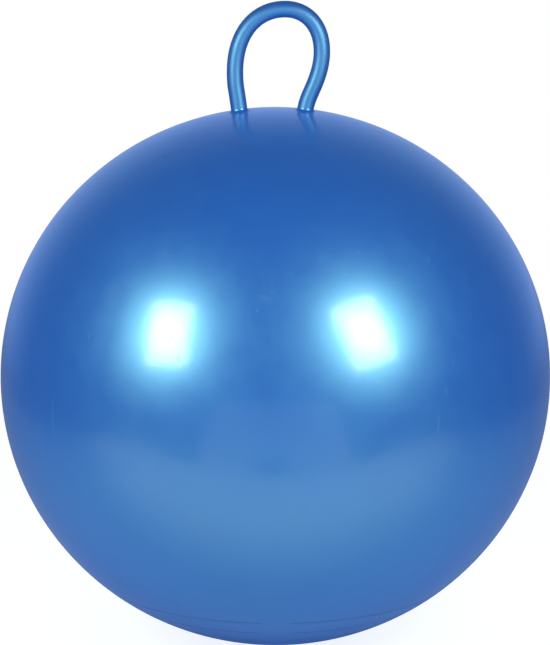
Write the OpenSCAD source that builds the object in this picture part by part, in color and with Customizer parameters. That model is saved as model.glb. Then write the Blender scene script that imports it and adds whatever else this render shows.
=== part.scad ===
// Hopper ball: an inflated ball with a loop of flexible tube on top as its handle.
// Frame: millimetres, +Z up. The origin is the centre of the patch that the ball rests on.
// X runs across the loop, from its left foot to its right foot. -Y is the front of the ball.

/* [Ball] */
// Width of the ball at its equator
ball_width = 500; // [420:1:600]
// Height of the ball from pole to pole, before it flattens on the floor
ball_height = 489; // [400:1:600]
// Thickness of the cast wall
wall = 1.1; // [0.8:0.1:3]
// Width of the patch where the ball's own weight flattens it on the floor
contact_width = 56; // [30:1:90]

/* [Handle tube] */
// Outside diameter of the tube
tube_d = 14.8; // [10:0.1:20]
// Wall of the tube
tube_wall = 3; // [1.5:0.1:4]
// Distance between the two feet, centre to centre
foot_spacing = 59; // [52:0.1:90]
// How far the middle of the two feet lies right of the ball's axis
foot_offset = -2.7; // [-10:0.1:10]
// Height above the pole up to which the legs flex
flex_height = 18; // [14:0.5:24]
// Outward lean of the left leg where its flexing part ends
left_lean = 9; // [0:0.5:15]
// Outward lean of the right leg where its flexing part ends
right_lean = 24; // [5:0.5:28]
// How far the left side bulges out past its foot
left_bulge = 3.9; // [2:0.1:12]
// Height of the left side's widest point above the pole
left_bulge_height = 33.5; // [28:0.5:45]
// How far the right side bulges out past its foot
right_bulge = 14.7; // [10:0.1:25]
// Height of the right side's widest point above the pole
right_bulge_height = 51.5; // [42:0.5:62]
// Height of the loop's top above the pole
loop_height = 96.7; // [85:0.1:130]
// How far the loop's top lies right of the ball's axis
loop_top_offset = 8.6; // [-12:0.1:12]

/* [Handle bosses] */
// Width of the thick boss inside the wall at each foot
boss_width = 30; // [27:0.5:44]
// Depth of each boss, from the outside of the ball
boss_depth = 14; // [10:0.5:20]
// Width of the moulded fillet round each foot
fillet_width = 3; // [1:0.1:5]
// Width of the flat rim at the top of that fillet
fillet_rim = 0.5; // [0.3:0.1:2]
// Gap between the tube and its hole in the boss
tube_clearance = 0.1; // [0.02:0.01:0.2]

/* [Anchors] */
// Width of the flange that holds the tube's end inside the ball
anchor_flange_width = 26; // [22:0.5:34]
// Thickness of that flange
anchor_flange = 3; // [2:0.1:6]
// How far the barbed stem in the tube ends below the outside of the ball
anchor_short = 1; // [0:0.5:4]
// Number of barbs on the stem
anchor_barbs = 3; // [2:1:4]
// Depth of each barb
barb_depth = 0.7; // [0.3:0.1:0.9]
// Gap between the barbs and the bore of the tube
anchor_clearance = 0.05; // [0.02:0.01:0.2]

/* [Valve] */
// How far the valve points below the horizontal, at the back of the ball
valve_angle = 30; // [0:1:50]
// Width of the pad inside the wall that carries the seat
seat_pad_width = 42; // [38:0.5:54]
// Depth of that pad, from the outside of the ball
seat_pad_depth = 4; // [3:0.5:8]
// Width of the seat's flange, which bears on the pad
seat_flange_width = 36; // [28:0.5:38]
// Thickness of the seat's flange
seat_flange = 2; // [1.5:0.1:4]
// Outside diameter of the seat's sleeve
seat_sleeve_d = 15; // [13:0.5:18]
// Length of the sleeve behind the flange
seat_sleeve = 14; // [8:0.5:18]
// Bore of the sleeve
seat_bore_d = 8; // [6:0.1:10]
// Gap between the sleeve and its hole in the pad
seat_clearance = 0.1; // [0.02:0.01:0.2]
// Width of the stopper's head
plug_head_d = 19; // [17:0.5:26]
// Thickness of the stopper's head
plug_head = 2.4; // [1.8:0.1:4]
// Width of the slope round the top of the head
plug_slope = 1.2; // [0.4:0.1:1.5]
// Length of the stopper's stem below its head
plug_stem = 26; // [20:0.5:32]
// Length of the stem's tapered tip
plug_tip = 4; // [2:0.5:8]
// Gap between the stopper's stem and the sleeve
plug_clearance = 0.06; // [0.03:0.01:0.1]
// Gap between the stopper's head and the ball
head_clearance = 0.3; // [0.1:0.05:0.6]

/* [Hidden] */
$fn = 96;

pearl_blue = "#2f63b4";
tube_blue = "#3f82cc";
soft_white = "#e8e8e4";
// How finely the ball's outline and the tube are divided
ball_bands = 80;
tube_sides = 18;
tube_steps = 10;
// Room for cutting tools to reach past the surface that they cut
past = 4;

// Half sizes of the ball, and the heights of its centre and its pole above the floor
half_width = ball_width / 2;
half_height = ball_height / 2;
centre_z = half_height * sqrt(1 - pow(contact_width / ball_width, 2));
pole_z = centre_z + half_height;

// Height of the ball's surface above its pole, always negative, at a distance r from the ball's axis
function rise(r) = half_height * (sqrt(1 - pow(r / half_width, 2)) - 1);
// Lean of the ball's outward normal away from its axis, at a distance r from the axis
function normal_lean(r) = atan2(r / pow(half_width, 2), (rise(r) + half_height) / pow(half_height, 2));

// Half outline of the ball, moved inwards by inset: a flat at the floor, then an ellipse up to the pole
function ball_outline(inset) =
    let (
        rx = half_width - inset,
        rz = half_height - inset,
        first = asin((inset - centre_z) / rz)
    )
    concat(
        [[0, inset]],
        [for (i = [0 : ball_bands - 1]) let (t = first + (90 - first) * i / ball_bands)
            [rx * cos(t), centre_z + rz * sin(t)]],
        [[0, centre_z + rz]]
    );

// Distances of the two feet from the ball's axis
left_foot = foot_offset - foot_spacing / 2;
right_foot = foot_offset + foot_spacing / 2;

// Direction, in the loop's plane, that leans to the right of straight up by an angle
function up(lean) = [sin(lean), cos(lean)];

// Places and directions along the tube's middle line, in the loop's plane: x across, y above the pole.
// The line climbs from the left foot to the top and comes down to the right foot.
tube_bore = tube_d - 2 * tube_wall;
left_foot_lean = normal_lean(left_foot);
right_foot_lean = normal_lean(right_foot);
left_flex_x = left_foot - (flex_height - rise(left_foot)) * tan((left_lean - left_foot_lean) / 2);
right_flex_x = right_foot + (flex_height - rise(right_foot)) * tan((2 * right_lean + right_foot_lean) / 3);
left_foot_key = [[left_foot, rise(left_foot)], up(left_foot_lean)];
left_flex_key = [[left_flex_x, flex_height], up(-left_lean)];
left_bulge_key = [[left_foot - left_bulge, left_bulge_height], up(0)];
top_key = [[loop_top_offset, loop_height - tube_d / 2], up(90)];
right_bulge_key = [[right_foot + right_bulge, right_bulge_height], -up(0)];
right_flex_key = [[right_flex_x, flex_height], -up(right_lean)];
right_foot_key = [[right_foot, rise(right_foot)], -up(right_foot_lean)];

// Share of a stretch's length that each end's direction is followed for, along the sides and over the arch
side_pull = 0.35;
arch_pull = 0.6;

// Points of a smooth curve from key a to key b, each with the curve's direction there
function curve(a, b, pull) =
    let (
        across = b[0] - a[0],
        p = [a[0], a[0] + a[1] * (across * a[1]) * pull, b[0] - b[1] * (across * b[1]) * pull, b[0]]
    )
    [for (i = [0 : tube_steps])
        let (
            t = i / tube_steps,
            s = 1 - t,
            place = s * s * s * p[0] + 3 * s * s * t * p[1] + 3 * s * t * t * p[2] + t * t * t * p[3],
            way = s * s * (p[1] - p[0]) + 2 * s * t * (p[2] - p[1]) + t * t * (p[3] - p[2])
        )
        [place, way / norm(way)]];

// The end of the tube in its boss: straight along the boss's hole
function end_in_boss(foot, lean) = [foot[0] - up(lean) * boss_depth, foot[1]];

// A list without its first entry, so that stretches can be joined without doubling a point
function rest_of(list) = [for (i = [1 : len(list) - 1]) list[i]];

left_leg_line = concat(
    [end_in_boss(left_foot_key, left_foot_lean)],
    curve(left_foot_key, left_flex_key, side_pull)
);
loop_line = concat(
    curve(left_flex_key, left_bulge_key, side_pull),
    rest_of(curve(left_bulge_key, top_key, arch_pull)),
    rest_of(curve(top_key, right_bulge_key, arch_pull)),
    rest_of(curve(right_bulge_key, right_flex_key, side_pull))
);
right_leg_line = concat(
    curve(right_flex_key, right_foot_key, side_pull),
    [end_in_boss(right_foot_key, right_foot_lean)]
);

// Tube along a line in the loop's plane: rings of points, skinned outside, in the bore and at both ends
module tube_along(line) {
    count = len(line);
    n = tube_sides;
    function ring(key, r) =
        [for (k = [0 : n - 1]) let (a = 360 * k / n, side = key[0] + r * cos(a) * [-key[1][1], key[1][0]])
            [side[0], r * sin(a), pole_z + side[1]]];
    outer = [for (key = line) each ring(key, tube_d / 2)];
    inner = [for (key = line) each ring(key, tube_bore / 2)];
    function quad(a, b, c, d) = [[a, b, c], [a, c, d]];
    inside = count * n;
    last = (count - 1) * n;
    skin = [for (i = [0 : count - 2], k = [0 : n - 1])
        let (a = i * n + k, b = i * n + (k + 1) % n)
            each concat(
                quad(a, a + n, b + n, b),
                quad(inside + a, inside + b, inside + b + n, inside + a + n)
            )];
    ends = [for (k = [0 : n - 1])
        let (b = (k + 1) % n)
            each concat(
                quad(k, b, inside + b, inside + k),
                quad(last + k, inside + last + k, inside + last + b, last + b)
            )];
    polyhedron(concat(outer, inner), concat(skin, ends), convexity = 6);
}

// Moves its children to a foot of the loop, with +Z along the outward normal of the ball there
module at_foot(x) {
    translate([x, 0, pole_z + rise(x)])
        rotate([0, normal_lean(x), 0])
            children();
}

// Does the same at both feet
module at_feet() {
    for (x = [left_foot, right_foot]) at_foot(x) children();
}

// Place on the back of the ball where the outward normal points valve_angle below the horizontal
valve_reach = sqrt(pow(half_width * cos(valve_angle), 2) + pow(half_height * sin(valve_angle), 2));
valve_y = pow(half_width, 2) * cos(valve_angle) / valve_reach;
valve_z = centre_z - pow(half_height, 2) * sin(valve_angle) / valve_reach;

// Moves its children to the valve, with +Z along the outward normal of the ball there
module at_valve() {
    translate([0, valve_y, valve_z])
        rotate([-90 - valve_angle, 0, 0])
            children();
}

// Fillet round one foot: a cone that rises from the ball to the tube
module foot_fillet() {
    rim_d = tube_d + 2 * fillet_rim;
    translate([0, 0, -wall])
        cylinder(d1 = rim_d + 2 * (fillet_width + wall), d2 = rim_d, h = fillet_width + wall);
}

// Space inside the ball: what is left of it beside the bosses and the valve's pad
module cavity() {
    difference() {
        rotate_extrude() polygon(ball_outline(wall));
        at_feet()
            translate([0, 0, -boss_depth])
                cylinder(d = boss_width, h = boss_depth + past);
        at_valve()
            translate([0, 0, -seat_pad_depth])
                cylinder(d = seat_pad_width, h = seat_pad_depth + past);
    }
}

// Cast ball: a thin wall with bosses under the feet and a pad at the valve, flat where it rests
module ball_shell() {
    color(pearl_blue)
        difference() {
            union() {
                rotate_extrude() polygon(ball_outline(0));
                at_feet() foot_fillet();
            }
            cavity();
            at_feet()
                translate([0, 0, -boss_depth - past])
                    cylinder(d = tube_d + 2 * tube_clearance, h = boss_depth + fillet_width + 2 * past);
            at_valve()
                translate([0, 0, -seat_pad_depth - past])
                    cylinder(d = seat_sleeve_d + 2 * seat_clearance, h = seat_pad_depth + 2 * past);
        }
}

// Moving part of the handle: the loop above the flexing legs
module handle_loop() {
    color(tube_blue) tube_along(loop_line);
}

// Flexing legs of the handle, each with the end that is fixed in its boss
module left_leg() {
    color(tube_blue) tube_along(left_leg_line);
}

module right_leg() {
    color(tube_blue) tube_along(right_leg_line);
}

// Flanged plug in the tube's end: its barbs grip the bore and its flange bears on the boss
module anchor(x) {
    stem_r = tube_bore / 2 - anchor_clearance;
    stem = boss_depth - anchor_short;
    barb = stem / anchor_barbs;
    flange = [[0, -anchor_flange], [anchor_flange_width / 2, -anchor_flange], [anchor_flange_width / 2, 0]];
    barbs = [for (i = [0 : anchor_barbs - 1])
        each [[stem_r, i * barb], [stem_r - barb_depth, (i + 1) * barb]]];
    color(soft_white)
        at_foot(x)
            translate([0, 0, -boss_depth])
                rotate_extrude()
                    polygon(concat(flange, barbs, [[0, stem]]));
}

module left_anchor() { anchor(left_foot); }
module right_anchor() { anchor(right_foot); }

// Valve seat: a sleeve through the wall, with a flange that bears on the pad from inside
module valve_seat() {
    length = seat_pad_depth + seat_flange + seat_sleeve;
    color(pearl_blue)
        at_valve()
            translate([0, 0, -length])
                difference() {
                    union() {
                        cylinder(d = seat_sleeve_d, h = length);
                        translate([0, 0, seat_sleeve])
                            cylinder(d = seat_flange_width, h = seat_flange);
                    }
                    translate([0, 0, -past])
                        cylinder(d = seat_bore_d, h = length + 2 * past);
                }
}

// Stopper: a head with a sloped edge outside the ball, and a stem with a tapered tip in the sleeve
module valve_plug() {
    stem_d = seat_bore_d - 2 * plug_clearance;
    head_side = plug_head - plug_slope;
    color(soft_white)
        at_valve()
            translate([0, 0, head_clearance]) {
                cylinder(d = plug_head_d, h = head_side);
                translate([0, 0, head_side])
                    cylinder(d1 = plug_head_d, d2 = plug_head_d - 2 * plug_slope, h = plug_slope);
                translate([0, 0, plug_tip - plug_stem])
                    cylinder(d = stem_d, h = plug_stem - plug_tip);
                translate([0, 0, -plug_stem])
                    cylinder(d1 = stem_d / 2, d2 = stem_d, h = plug_tip);
            }
}

ball_shell();
handle_loop();
left_leg();
right_leg();
left_anchor();
right_anchor();
valve_seat();
valve_plug();
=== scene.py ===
import bpy
import numpy as np
from mathutils import Matrix, Vector


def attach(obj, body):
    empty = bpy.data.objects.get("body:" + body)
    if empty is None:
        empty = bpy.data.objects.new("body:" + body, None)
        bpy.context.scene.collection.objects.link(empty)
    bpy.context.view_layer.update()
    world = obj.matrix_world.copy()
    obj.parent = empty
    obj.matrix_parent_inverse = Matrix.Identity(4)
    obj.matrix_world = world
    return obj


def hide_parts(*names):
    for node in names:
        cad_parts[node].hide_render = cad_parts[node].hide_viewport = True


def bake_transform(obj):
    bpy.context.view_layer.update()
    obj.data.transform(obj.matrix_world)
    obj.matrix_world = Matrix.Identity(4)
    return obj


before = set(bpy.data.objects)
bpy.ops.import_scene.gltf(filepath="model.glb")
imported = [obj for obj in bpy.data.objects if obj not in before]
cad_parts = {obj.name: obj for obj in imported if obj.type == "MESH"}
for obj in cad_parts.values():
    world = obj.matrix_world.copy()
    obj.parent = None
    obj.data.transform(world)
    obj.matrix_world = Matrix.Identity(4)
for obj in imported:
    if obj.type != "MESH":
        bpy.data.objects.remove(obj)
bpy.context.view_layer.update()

# Ball: one hollow cast of soft PVC, coloured through with pearl pigment and pumped up until it is taut.
# Its own weight flattens a small patch on the floor. Three fine rings are moulded round the underside,
# each with a short break at the front and the back.
half_width = 0.250
half_height = 0.2445
wall = 0.0011
patch_radius = 0.028
centre_z = half_height * np.sqrt(1 - (patch_radius / half_width) ** 2)
pole_z = centre_z + half_height
sharp_angle = np.radians(30)


def turned(radius, height, columns):
    """Profile turned round Z: row i, column k lies at radius i, height i and k equal shares of a turn."""
    turn = np.linspace(0, 2 * np.pi, columns, endpoint=False)
    across = radius[:, None] * np.cos(turn)
    along = radius[:, None] * np.sin(turn)
    return np.stack([across, along, np.broadcast_to(height[:, None], across.shape)], axis=-1)


def quads_of(rows, columns, ring=False, first=0):
    """Corner numbers of the faces of a grid whose columns close: each point with its next column and
    next row. With ring, the last row is followed by the first."""
    row = np.arange(rows if ring else rows - 1)[:, None]
    column = np.arange(columns)[None, :]
    here, beside = row * columns + column, row * columns + (column + 1) % columns
    above = (row + 1) % rows * columns
    faces = np.stack([here, beside, above + (column + 1) % columns, above + column], axis=-1)
    return first + faces.reshape(-1, 4)


def tip_fans(rows, columns, first=0):
    """Fans of triangles that close a grid's first and last row with the two tip points after the grid."""
    column = np.arange(columns)
    beside = (column + 1) % columns
    last = (rows - 1) * columns
    low = np.full(columns, rows * columns)
    foot = np.stack([low, beside, column], axis=-1)
    head = np.stack([low + 1, last + column, last + beside], axis=-1)
    return first + np.concatenate([foot, head])


def solid(name, points, *faces):
    """Smooth mesh object from points and arrays of corner numbers, with its steep edges kept sharp."""
    mesh = bpy.data.meshes.new(name)
    mesh.from_pydata(points.reshape(-1, 3), [], [face for group in faces for face in group.tolist()])
    mesh.shade_smooth()
    mesh.set_sharp_from_angle(angle=sharp_angle)
    made = bpy.data.objects.new(name, mesh)
    bpy.context.scene.collection.objects.link(made)
    return made


def turned_solid(name, radius, height, columns, place):
    """Closed solid from a profile that starts and ends on its axis, moved by a 4 x 4 matrix."""
    grid = turned(radius[1:-1], height[1:-1], columns).reshape(-1, 3)
    tips = np.array([[0, 0, height[0]], [0, 0, height[-1]]])
    points = np.concatenate([grid, tips]) @ place[:3, :3].T + place[:3, 3]
    rows = len(radius) - 2
    return solid(name, points, quads_of(rows, columns), tip_fans(rows, columns))


def frame_at(origin, outward):
    """4 x 4 matrix that stands Z along the outward direction at an origin, both in the plane of X and Z
    or of Y and Z."""
    axis = np.asarray(outward) / np.linalg.norm(outward)
    side = np.array([0.0, 1.0, 0.0]) if abs(axis[1]) < 1e-9 else np.array([1.0, 0.0, 0.0])
    place = np.eye(4)
    place[:3, :3] = np.stack([side, np.cross(axis, side), axis], axis=1)
    place[:3, 3] = origin
    return place


def ball_normal(point):
    """Outward direction of the ball's ellipse through a point: each distance from the centre over the
    square of the half size."""
    return (point - [0, 0, centre_z]) / np.array([half_width, half_width, half_height]) ** 2


# Rows of the outside, by angle from the bottom of the ellipse: even ones, and closer ones across each ring
ring_angles = np.radians([41.4, 35.6, 29.9])
ring_half_width = 0.0009
ring_depth = 0.00035
ring_break, ring_fade = 0.0105, 0.003
# Painted shade and dust along the rings: full within the first distance of each ring's height, at the second
# number's strength
ring_floor, ring_darkening = 0.0002, 0.85
swell_depth = 0.00002
even_count, near_count, outside_columns = 150, 13, 480
near_reach, clear_reach = 1.5, 1.9
patch_angle = np.arcsin(patch_radius / half_width)
swell_start = patch_angle + 0.05
even_rows = np.linspace(patch_angle, np.pi, even_count)[:-1]
half_ring = ring_half_width / half_width
ring_rows = (ring_angles[:, None] + np.linspace(-near_reach, near_reach, near_count) * half_ring).ravel()
clear = np.abs(even_rows[:, None] - ring_angles).min(axis=1) > clear_reach * half_ring
rows = np.sort(np.concatenate([even_rows[clear], ring_rows]))
flat_rows = np.linspace(0.25, 0.85, 4) * patch_radius


def outside_of_ball():
    """Ellipse turned round Z, on a flat patch. Each ring sinks it by a smooth dip, less a break at front and
    back, and the whole skin swells and sinks by a few hundredths of a millimetre, as a cast skin does."""
    radius = np.concatenate([flat_rows, half_width * np.sin(rows)])
    height = np.concatenate([np.zeros(len(flat_rows)), centre_z - half_height * np.cos(rows)])
    grid = turned(radius, height, outside_columns)
    angle = np.concatenate([np.zeros(len(flat_rows)), rows])[:, None]
    offset = (angle[..., None] - ring_angles) / half_ring
    dips = np.where(np.abs(offset) < 1, (1 - offset**2) ** 2, 0).sum(axis=-1)
    opened = np.clip((np.abs(grid[..., 0]) - ring_break) / ring_fade, 0, 1)
    x, y, z = np.moveaxis(grid, -1, 0)
    swell = np.sin(41 * x + 17 * z) * np.sin(53 * y - 29 * z + 1.3) + np.sin(88 * z + 37 * x - 61 * y)
    away = ball_normal(grid)
    away /= np.linalg.norm(away, axis=-1, keepdims=True)
    lift = swell_depth * swell * (angle > swell_start) - ring_depth * dips * opened
    return grid + away * lift[..., None]


inside_count, inside_columns = 60, 96
inside_half_width, inside_half_height = half_width - wall, half_height - wall
inside_start = np.arccos((centre_z - wall) / inside_half_height)
inside_rows = np.linspace(inside_start, np.pi, inside_count + 1)[:-1]
inside_heights = centre_z - inside_half_height * np.cos(inside_rows)
inside = turned(inside_half_width * np.sin(inside_rows), inside_heights, inside_columns)
outside = outside_of_ball()
outside_count = outside.shape[0]
inside_first = outside_count * outside_columns + 2
skin = np.concatenate([
    outside.reshape(-1, 3), [[0, 0, 0], [0, 0, pole_z]],
    inside.reshape(-1, 3), [[0, 0, wall], [0, 0, pole_z - wall]],
])
ball = solid(
    "ball", skin,
    quads_of(outside_count, outside_columns), tip_fans(outside_count, outside_columns),
    quads_of(inside_count, inside_columns, first=inside_first)[:, ::-1],
    tip_fans(inside_count, inside_columns, first=inside_first)[:, ::-1],
)

# Holes for the tube's two ends and the valve's sleeve, each square to the skin
tube_radius = 0.0074
foot_xs = np.array([-0.0322, 0.0268])
sleeve_radius = 0.0075
valve_drop = np.radians(30)
hole_gap, hole_reach, hole_columns = 0.0001, 0.01, 64
foot_points = np.stack([
    foot_xs, np.zeros(2), centre_z + half_height * np.sqrt(1 - (foot_xs / half_width) ** 2),
], axis=-1)
left_foot, right_foot = [frame_at(point, ball_normal(point)) for point in foot_points]
valve_reach = np.hypot(half_width * np.cos(valve_drop), half_height * np.sin(valve_drop))
valve_point = np.array([
    0, half_width**2 * np.cos(valve_drop), -(half_height**2) * np.sin(valve_drop),
]) / valve_reach + [0, 0, centre_z]
valve = frame_at(valve_point, ball_normal(valve_point))
for place, radius in ((left_foot, tube_radius), (right_foot, tube_radius), (valve, sleeve_radius)):
    hole_radii = np.array([0, 1, 1, 0]) * (radius + hole_gap)
    hole_heights = np.array([-1, -1, 1, 1]) * hole_reach
    cutter = turned_solid("cutter", hole_radii, hole_heights, hole_columns, place)
    cut = ball.modifiers.new("hole", "BOOLEAN")
    cut.operation, cut.solver, cut.object = "DIFFERENCE", "MANIFOLD", cutter
    bpy.context.view_layer.update()
    holed = bpy.data.meshes.new_from_object(ball.evaluated_get(bpy.context.evaluated_depsgraph_get()))
    ball.modifiers.clear()
    ball.data = holed
    bpy.data.objects.remove(cutter)
ball.data.shade_smooth()
ball.data.set_sharp_from_angle(angle=sharp_angle)


class Wire:
    """A socket in a node tree. Arithmetic on wires and numbers adds Math nodes."""

    def __init__(self, tree, socket=None):
        self.tree = tree
        self.socket = socket

    def node(self, kind, settings, sockets, output=0):
        """Any other node: its type, its settings, set first, and the values or wires of its sockets."""
        made = self.tree.nodes.new(kind)
        for name, value in settings.items():
            setattr(made, name, value)
        for name, value in sockets.items():
            if isinstance(value, Wire):
                self.tree.links.new(value.socket, made.inputs[name])
            else:
                made.inputs[name].default_value = value
        return Wire(self.tree, made.outputs[output] if len(made.outputs) else None)

    def math(self, operation, *others):
        """A Math node with this wire as its first value."""
        return self.node("ShaderNodeMath", {"operation": operation}, dict(enumerate((self, *others))))

    def __add__(self, other):
        return self.math("ADD", other)

    __radd__ = __add__

    def __sub__(self, other):
        return self.math("SUBTRACT", other)

    def __rsub__(self, other):
        return (self * -1) + other

    def __mul__(self, other):
        return self.math("MULTIPLY", other)

    __rmul__ = __mul__

    def __abs__(self):
        return self.math("ABSOLUTE")

    def rising(self, low, high):
        """0 below low, 1 above high, and a smooth rise between them."""
        smooth = {"interpolation_type": "SMOOTHSTEP"}
        return self.node("ShaderNodeMapRange", smooth, {0: self, 1: low, 2: high})

    def noise(self, scale, detail=2.0, roughness=0.5):
        """Even noise about 0.5 at this many patches a metre, read at the wire's place."""
        return self.node(
            "ShaderNodeTexNoise", {},
            {"Vector": self, "Scale": scale, "Detail": detail, "Roughness": roughness},
        )

    def part(self, axis):
        """The X, Y or Z of a place or direction."""
        return self.node("ShaderNodeSeparateXYZ", {}, {0: self}, axis)

    def mixed(self, low, high):
        """Colour that goes from low to high as the wire goes from 0 to 1."""
        return self.node("ShaderNodeMix", {"data_type": "RGBA"}, {0: self, 6: low, 7: high}, 2)


def finish_named(name):
    """New material with an empty node tree, and a wire to start from."""
    made = bpy.data.materials.new(name)
    made.use_nodes = True
    made.node_tree.nodes.clear()
    return made, Wire(made.node_tree)


# Dark blue that the pearl turns to under painted shade and dust in the ball's rings, scuffs of wear, and the
# tube's darker ends
dust_and_shade_blue = (0.001, 0.016, 0.24, 1)
flake_tint = (0.29, 0.85, 0.91, 1.0)
rim_tint = (0.13, 0.21, 1.0, 1.0)


def pearl_pvc(name, deep, light, place_of, shade_of, flake_roughness, coat, coat_roughness, sheen):
    """Pearl PVC: deep blue with cyan flakes near the surface, which shine softly and turn violet towards the
    rim, under a clear glossy skin. Clouds and flakes vary the blue, scuffs dull it, and a fine grain and long
    scratches break the gloss. Where shade_of is 1, the skin is dull and painted dark."""
    made, start = finish_named(name)
    place = place_of(start)
    scuffs = place.noise(30.0, 4.0, 0.65).rising(0.58, 0.68) * place.noise(420.0, 2.0).rising(0.50, 0.60)
    # Darkening from shade_of, which on the ball is painted shade and dust in its rings, plus real scuffs of
    # wear: both darken the blue and dull the skin
    shade = shade_of(start) + scuffs * 0.30
    clouds = place.noise(7.0, 3.0)
    flakes = start.node("ShaderNodeTexVoronoi", {}, {"Vector": place, "Scale": 1500.0}, "Color")
    flake = start.node("ShaderNodeSeparateColor", {}, {0: flakes})
    tint = (clouds - 0.5) * 0.9 + (flake - 0.5) * 1.0 + 0.5
    drawn = {"Vector": place, "Rotation": (0.5, 0.9, 0.2), "Scale": (1, 1, 0.04)}
    scratch = start.node("ShaderNodeMapping", {}, drawn).noise(260.0, 1.0).rising(0.74, 0.78)
    grain = place.noise(1100.0, 1.0)
    relief = {"Strength": 0.03, "Distance": 0.0002, "Height": grain + scratch * -0.6}
    patches = (place.noise(45.0, 3.0) - 0.5) * 0.10
    skin = start.node("ShaderNodeBsdfPrincipled", {}, {
        "Base Color": shade.mixed(tint.mixed(deep, light), dust_and_shade_blue),
        "Roughness": patches + scratch * 0.12 + shade * 0.3 + flake_roughness,
        "IOR": 3.19,
        "Specular Tint": flake_tint,
        "Coat Weight": (coat - scratch * 0.2) * (1 - shade * 0.8),
        "Coat Roughness": coat_roughness,
        "Coat IOR": 1.49,
        "Sheen Weight": sheen,
        "Sheen Roughness": 0.43,
        "Sheen Tint": rim_tint,
        "Normal": start.node("ShaderNodeBump", {}, relief),
    })
    start.node("ShaderNodeOutputMaterial", {}, {"Surface": skin})
    return made


def object_place(start):
    """Place on the piece in metres, from Object coordinates."""
    return start.node("ShaderNodeTexCoord", {}, {}, "Object")


def dust_and_shade_in_rings(start):
    """Painted shade and dust in the moulded rings: darkest at the height of each ring, none beside it or at
    its breaks.
    """
    place = object_place(start)
    low, middle, high = [
        1 - abs(place.part("Z") - ring_z).rising(ring_floor, ring_half_width)
        for ring_z in (centre_z - half_height * np.cos(ring_angles)).tolist()
    ]
    opened = abs(place.part("X")).rising(ring_break, ring_break + ring_fade)
    return (low + middle + high) * ring_darkening * opened


ball_pearl = pearl_pvc(
    "ball pearl", (0.0026, 0.0692, 0.411, 1), (0.0034, 0.0845, 0.463, 1), object_place, dust_and_shade_in_rings,
    flake_roughness=0.399, coat=0.95, coat_roughness=0.156, sheen=0.2,
)
ball.data.materials.clear()
ball.data.materials.append(ball_pearl)
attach(ball, "ball")
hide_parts("ball_shell")

# Foot fillets: the ball's own skin, drawn up into a small hollow flare round each end of the tube.
# They are moulded with the ball, and they hide the edge of the hole.
flare_width = 0.0030
flare_overlap = 0.0002
flare_sunk = 0.0006
flare_columns = 96


def flare_profile():
    """Quarter of a hollow circle from the ball up to the tube, closed below the skin. The ball falls away by
    the square of the distance over twice its radius, and the flare's foot follows it."""
    bow = np.linspace(0, np.pi / 2, 13)
    radius = tube_radius + flare_width * (1 - np.sin(bow))
    height = flare_width * (1 - np.cos(bow)) - radius**2 / (2 * half_width)
    under = [tube_radius - flare_overlap, tube_radius - flare_overlap, radius[0]]
    return np.append(radius, under), np.append(height, [height[-1], -2 * flare_sunk, height[0] - flare_sunk])


flare = turned(*flare_profile(), flare_columns)
flares = np.stack([flare @ place[:3, :3].T + place[:3, 3] for place in (left_foot, right_foot)])
flare_rows = flare.shape[0]
foot_fillets = solid(
    "foot_fillets", flares,
    quads_of(flare_rows, flare_columns, ring=True),
    quads_of(flare_rows, flare_columns, ring=True, first=flare_rows * flare_columns),
)
foot_fillets.data.materials.append(ball_pearl)
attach(foot_fillets, "ball")

# Handle: one length of extruded PVC tube, bent into a loop that leans to the right. Both ends go through the
# ball's skin and are held inside. The legs bend where they leave the ball.
bore_radius = 0.0044
end_depth, end_steps = 0.014, 5
tube_dark_full, tube_dark_none = 0.006, 0.003
flex_height = 0.018
left_lean, right_lean = np.radians([9, 24])
left_bulge, left_bulge_height = 0.0039, 0.0335
right_bulge, right_bulge_height = 0.0147, 0.0515
loop_top, loop_top_x = 0.0967, 0.0086
side_pull, arch_pull = 0.35, 0.6
tube_columns = 56
stretch_steps = 26
left_x, right_x = foot_xs
left_rise, right_rise = foot_points[:, 2] - pole_z
left_normal_lean = np.arctan2(left_foot[0, 2], left_foot[2, 2])
right_normal_lean = np.arctan2(right_foot[0, 2], right_foot[2, 2])
left_flex_x = left_x - (flex_height - left_rise) * np.tan((left_lean - left_normal_lean) / 2)
right_flex_x = right_x + (flex_height - right_rise) * np.tan((2 * right_lean + right_normal_lean) / 3)


def lean_up(lean):
    """Direction that leans to the right of upright: across by the sine of the angle, up by its cosine."""
    return np.array([np.sin(lean), np.cos(lean)])


# Places above the pole and directions along the loop. The last number says how long both ends' directions
# are kept on the stretch that starts there.
loop_keys = [
    (left_x, left_rise, lean_up(left_normal_lean), side_pull),
    (left_flex_x, flex_height, lean_up(-left_lean), side_pull),
    (left_x - left_bulge, left_bulge_height, lean_up(0), arch_pull),
    (loop_top_x, loop_top - tube_radius, lean_up(np.pi / 2), arch_pull),
    (right_x + right_bulge, right_bulge_height, -lean_up(0), side_pull),
    (right_flex_x, flex_height, -lean_up(right_lean), side_pull),
    (right_x, right_rise, -lean_up(right_normal_lean), side_pull),
]


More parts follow.
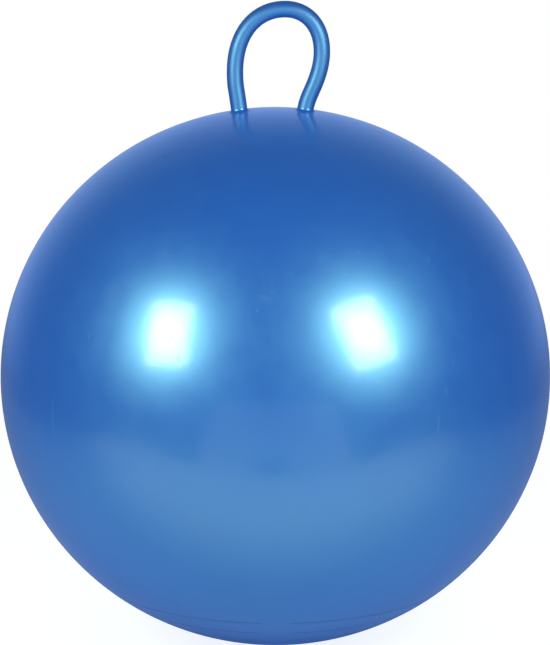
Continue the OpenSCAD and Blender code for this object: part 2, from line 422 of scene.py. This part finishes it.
def loop_line():
    """Middle line of the tube: a cubic curve between each two places, which leaves and meets them in their
    directions, and a straight end in each foot. Gives points across and up, and directions."""
    t = np.linspace(0, 1, stretch_steps, endpoint=False)[:, None]
    s = 1 - t
    points, ways = [], []
    for (ax, az, a_way, pull), (bx, bz, b_way, _) in zip(loop_keys, loop_keys[1:]):
        a, b = np.array([ax, az]), np.array([bx, bz])
        a_arm = a + a_way * ((b - a) @ a_way) * pull
        b_arm = b - b_way * ((b - a) @ b_way) * pull
        points.append(s**3 * a + 3 * s**2 * t * a_arm + 3 * s * t**2 * b_arm + t**3 * b)
        ways.append(s**2 * (a_arm - a) + 2 * s * t * (b_arm - a_arm) + t**2 * (b - b_arm))
    first_x, first_z, first_way, _ = loop_keys[0]
    last_x, last_z, last_way, _ = loop_keys[-1]
    depths = np.linspace(0, end_depth, end_steps + 1)[:, None]
    head = np.array([first_x, first_z]) - first_way * depths[:0:-1]
    tail = np.array([last_x, last_z]) + last_way * depths
    line = np.concatenate([head, *points, tail])
    way = np.concatenate([np.tile(first_way, (len(head), 1)), *ways, np.tile(last_way, (len(tail), 1))])
    return line, way / np.linalg.norm(way, axis=1, keepdims=True)


def tube_grid(radius):
    """Circles of this radius square to the middle line: across the loop by the cosine, along Y by the
    sine."""
    line, way = loop_line()
    turn = np.linspace(0, 2 * np.pi, tube_columns, endpoint=False)
    reach = radius * np.cos(turn)
    x = line[:, :1] - way[:, 1:] * reach
    z = line[:, 1:] + way[:, :1] * reach
    y = np.broadcast_to(-radius * np.sin(turn), x.shape)
    return np.stack([x, y, pole_z + z], axis=-1)


tube = np.concatenate([tube_grid(tube_radius), tube_grid(bore_radius)[::-1]])
handle_tube = solid("handle_tube", tube, quads_of(len(tube), tube_columns, ring=True))
rest_place = handle_tube.data.attributes.new("rest_place", "FLOAT_VECTOR", "POINT")
rest_place.data.foreach_set("vector", tube.astype(np.float32).ravel())


def tube_place(start):
    """Place on the tube at rest in metres, stored with the mesh, so that its finish would stay on it if it
    were bent.
    """
    return start.node("ShaderNodeAttribute", {"attribute_name": "rest_place"}, {}, "Vector")


def end_shade(start):
    """Darker and duller on the tube's ends inside the ball: 0 above the skin and 1 below it."""
    return 1 - tube_place(start).part("Z").rising(pole_z - tube_dark_full, pole_z - tube_dark_none)


tube_pearl = pearl_pvc(
    "tube pearl", (0.0036, 0.0496, 0.373, 1), (0.0054, 0.0631, 0.429, 1), tube_place, end_shade,
    flake_roughness=0.517, coat=0.224, coat_roughness=0.36, sheen=0.0,
)
handle_tube.data.materials.append(tube_pearl)
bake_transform(handle_tube)
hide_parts("handle_loop", "left_leg", "right_leg")

# Anchors: two flanged plugs of moulded polyethylene, pushed into the tube's ends from inside the ball.
# Barbs on the stem grip the bore, and the flange bears on the ball's thick boss.


def milky_plastic(name, tone, shade):
    """Moulded milky plastic: faintly uneven in tone, with a fine satin grain and slightly shinier rubbed
    patches."""
    made, start = finish_named(name)
    place = object_place(start)
    cloud = place.noise(120.0, 3.0)
    grain = place.noise(2600.0, 2.0)
    rubbed = place.noise(300.0, 4.0).rising(0.45, 0.7)
    relief = {"Strength": 0.12, "Distance": 0.0001, "Height": grain}
    skin = start.node("ShaderNodeBsdfPrincipled", {}, {
        "Base Color": cloud.mixed(shade, tone),
        "Roughness": 0.46 - rubbed * 0.10 + (grain - 0.5) * 0.08,
        "IOR": 1.5,
        "Normal": start.node("ShaderNodeBump", {}, relief),
    })
    start.node("ShaderNodeOutputMaterial", {}, {"Surface": skin})
    return made


milky_white = milky_plastic("milky white", (0.80, 0.80, 0.77, 1), (0.72, 0.72, 0.68, 1))
for name in ("left_anchor", "right_anchor"):
    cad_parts[name].data.materials.clear()
    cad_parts[name].data.materials.append(milky_white)

# Valve seat: a sleeve of the ball's own PVC, welded into the wall. Its bore grips the stopper, and its flange
# lies inside against the ball's pad.
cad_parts["valve_seat"].data.materials.clear()
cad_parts["valve_seat"].data.materials.append(ball_pearl)

# Stopper: a soft moulded plug. Its head lies on the ball, with a rolled edge to get a nail under and a
# shallow dish in the middle, and its stem fills the sleeve down to a tapered tip.
head_radius = 0.0095
head_low, head_high = 0.0003, 0.0027
head_round = 0.0009
dish_radius, dish_depth = 0.0058, 0.0006
stem_radius = 0.00394
stem_end = -0.0257
taper = 0.004
tip_radius, tip_flat = stem_radius * 0.5, stem_radius * 0.42
small_round = 0.0003
stopper_columns = 72


def stopper_profile():
    """Tip, taper, stem, a small fillet under the head, the head's rolled edge as two quarter circles, and a
    dish in its top that falls by a smooth dip."""
    quarter = np.linspace(0, np.pi / 2, 9)
    low_r = head_radius - head_round * (1 - np.sin(quarter))
    low_h = head_low + head_round * (1 - np.cos(quarter))
    high_r = head_radius - head_round * (1 - np.cos(quarter))
    high_h = head_high - head_round * (1 - np.sin(quarter))
    dish_r = np.linspace(head_radius - 1.3 * head_round, 0, 17)
    share = np.clip(dish_r / dish_radius, 0, 1)
    dish_h = head_high - dish_depth * (1 - share**2) ** 2
    stem_r = [0, tip_flat, tip_radius, stem_radius, stem_radius, stem_radius + small_round]
    stem_h = [stem_end, stem_end, stem_end + small_round, stem_end + taper, -small_round, head_low]
    return np.concatenate([stem_r, low_r, high_r, dish_r]), np.concatenate([stem_h, low_h, high_h, dish_h])


stopper = turned_solid("stopper_plug", *stopper_profile(), stopper_columns, valve)
stopper.data.materials.append(milky_white)
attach(stopper, "stopper")
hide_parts("valve_plug")

# Table: a top wide enough to fill the view, that the ball stands on. For the camera it glows as white as the
# background, apart from the ball's shadow, and it glows as fill light on the ball too. Its paper colour holds
# painted shade: grey in front, painted darker and bluer under and behind the ball, for the ball's shadow and
# the blue light it throws. Reflections see the paper alone.
table_left, table_right, table_front, table_back = -0.95, 0.95, -0.64, 1.25
# Paper colours with painted shade: grey in front, and painted darker and bluer from the first to the second
# Y, under and behind the ball
near_paper, far_painted_shade = (0.62, 0.62, 0.62, 1), (0.26, 0.33, 0.41, 1)
dim_start, dim_end = -0.39, -0.19
table_lift = 0.85
table_mesh = bpy.data.meshes.new("table")
table_mesh.from_pydata([
    (table_left, table_front, 0), (table_right, table_front, 0),
    (table_right, table_back, 0), (table_left, table_back, 0),
], [], [(0, 1, 2, 3)])
table = bpy.data.objects.new("table", table_mesh)
bpy.context.scene.collection.objects.link(table)
table_white, start = finish_named("table white")
# Painted shade and painted blue light: the paper turns to the far colour towards the ball and behind it
dim = object_place(start).part("Y").rising(dim_start, dim_end)
paper = start.node("ShaderNodeBsdfDiffuse", {}, {"Color": dim.mixed(near_paper, far_painted_shade)})
lift = start.node("ShaderNodeEmission", {}, {"Color": (1, 1, 1, 1), "Strength": table_lift})
lifted = start.node("ShaderNodeAddShader", {}, {0: paper, 1: lift})
mirrored = start.node("ShaderNodeLightPath", {}, {}, "Is Glossy Ray")
table_top = start.node("ShaderNodeMixShader", {}, {0: mirrored, 1: lifted, 2: paper})
start.node("ShaderNodeOutputMaterial", {}, {"Surface": table_top})
table_mesh.materials.append(table_white)

# Studio: two soft boxes in front, left and right, each brightest in its middle, where its bulb sits behind
# the cloth. The ball also mirrors a pale card in front, with the dark spot of a lens in it, and a blue-grey
# backdrop behind. The camera sees plain white behind the ball.
ball_centre = Vector((0, 0, centre_z))
bulb_reach = 0.164
edge_glow = 0.57
box_roll = Matrix.Rotation(np.radians(10), 3, "Z")
for name, place, box_width, box_height, power in (
    ("left box", (-0.622, -0.679, 0.669), 0.279, 0.388, 7.89),
    ("right box", (0.528, -0.737, 0.691), 0.302, 0.42, 8.59),
):
    data = bpy.data.lights.new(name, "AREA")
    data.shape, data.size, data.size_y, data.energy = "RECTANGLE", box_width, box_height, power
    data.use_nodes = True
    data.node_tree.nodes.clear()
    start = Wire(data.node_tree)
    share = start.node("ShaderNodeNewGeometry", {}, {}, "Parametric")
    stretch = {0: share, 1: (box_width, box_height, 0)}
    from_corner = start.node("ShaderNodeVectorMath", {"operation": "MULTIPLY"}, stretch)
    ends = {0: from_corner, 1: (box_width / 2, box_height / 2, 0)}
    from_middle = start.node("ShaderNodeVectorMath", {"operation": "DISTANCE"}, ends, "Value")
    glow = (1 - from_middle.rising(0, bulb_reach)) * (1 - edge_glow) + edge_glow
    cloth = start.node("ShaderNodeEmission", {}, {"Strength": glow})
    start.node("ShaderNodeOutputLight", {}, {"Surface": cloth})
    lamp = bpy.data.objects.new(name, data)
    back = (Vector(place) - ball_centre).normalized()
    side = Vector((0, 0, 1)).cross(back).normalized()
    turn = Matrix((side, back.cross(side), back)).transposed() @ box_roll
    lamp.matrix_world = Matrix.Translation(place) @ turn.to_4x4()
    bpy.context.scene.collection.objects.link(lamp)

room_glow = 0.068
card_slant, card_edge, card_top, card_limit = 0.425, (0.40, 0.46), (0.0, 0.06), (0.5, 0.6)
lens_drop, lens_spread = 0.507, 0.03
card_glow, card_side_glow = 0.39, 0.40
backdrop_blue, backdrop_glow = (0.31, 0.5, 1.0, 1), 0.78
backdrop_side, backdrop_top, backdrop_foot = (0.46, 1.0), (0.15, 1.5), (-0.25, -0.05)
fill_all, fill_above, fill_behind = 0.135, 0.17, 0.60
above_edge, behind_edge = (-0.1, 0.3), (0.1, 0.9)
room = bpy.data.worlds.new("room")
room.use_nodes = True
room.node_tree.nodes.clear()
start = Wire(room.node_tree)


def spread(strength, colour=(1, 1, 1, 1)):
    """Light from all round, of this strength and colour."""
    return start.node("ShaderNodeBackground", {}, {"Color": colour, "Strength": strength})


towards = start.node("ShaderNodeTexCoord", {}, {}, "Generated")
upward, behind = towards.part("Z"), towards.part("Y")
backdrop_height = (1 - upward.rising(*backdrop_top)) * upward.rising(*backdrop_foot)
backdrop = behind.rising(*backdrop_side) * backdrop_height
front = behind * -1
across = abs(towards.part("X")).math("DIVIDE", front)
above = upward.math("DIVIDE", front)
card_sides = 1 - (across + above * card_slant).rising(*card_edge)
card = card_sides * (1 - above.rising(*card_top)) * front.rising(*card_limit)
lens_height = above + lens_drop
lens = (across * across + lens_height * lens_height).rising(0.0, lens_spread)
pale = spread(card * lens * (across * card_side_glow + card_glow) + room_glow)
blue = spread(backdrop * backdrop_glow, backdrop_blue)
reflected = start.node("ShaderNodeAddShader", {}, {0: pale, 1: blue})
from_above, from_behind = upward.rising(*above_edge), behind.rising(*behind_edge)
fill = spread(from_above * fill_above + from_behind * fill_behind + fill_all)
glossy_ray, camera_ray, through = [
    start.node("ShaderNodeLightPath", {}, {}, kind)
    for kind in ("Is Glossy Ray", "Is Camera Ray", "Is Transmission Ray")
]
light = start.node("ShaderNodeMixShader", {}, {0: glossy_ray, 1: fill, 2: reflected})
seen = camera_ray.math("MAXIMUM", through)
shown = start.node("ShaderNodeMixShader", {}, {0: seen, 1: light, 2: spread(1.0)})
start.node("ShaderNodeOutputWorld", {}, {"Surface": shown})
bpy.context.scene.world = room
bpy.context.scene.view_settings.view_transform = "Standard"

# Camera: in front and a little above, aimed just over the ball's centre, so that the ball fills the width.
# The aim is given in pixels of the picture, up and left of the ball's centre.
camera_distance = 2.45
camera_height = np.radians(12.8)
long_side, focal_pixels = 645, 2679
aim_pixels = np.array([52.76, 0.39])
aim_up, aim_left = np.arctan(aim_pixels / focal_pixels)
camera_data = bpy.data.cameras.new("camera")
camera_data.sensor_width = 36
camera_data.lens = focal_pixels / long_side * camera_data.sensor_width
camera = bpy.data.objects.new("camera", camera_data)
camera.location = ball_centre + camera_distance * Vector((0, -np.cos(camera_height), np.sin(camera_height)))
camera.rotation_euler = (np.pi / 2 - camera_height + aim_up, 0, aim_left)
bpy.context.scene.collection.objects.link(camera)
bpy.context.scene.camera = camera
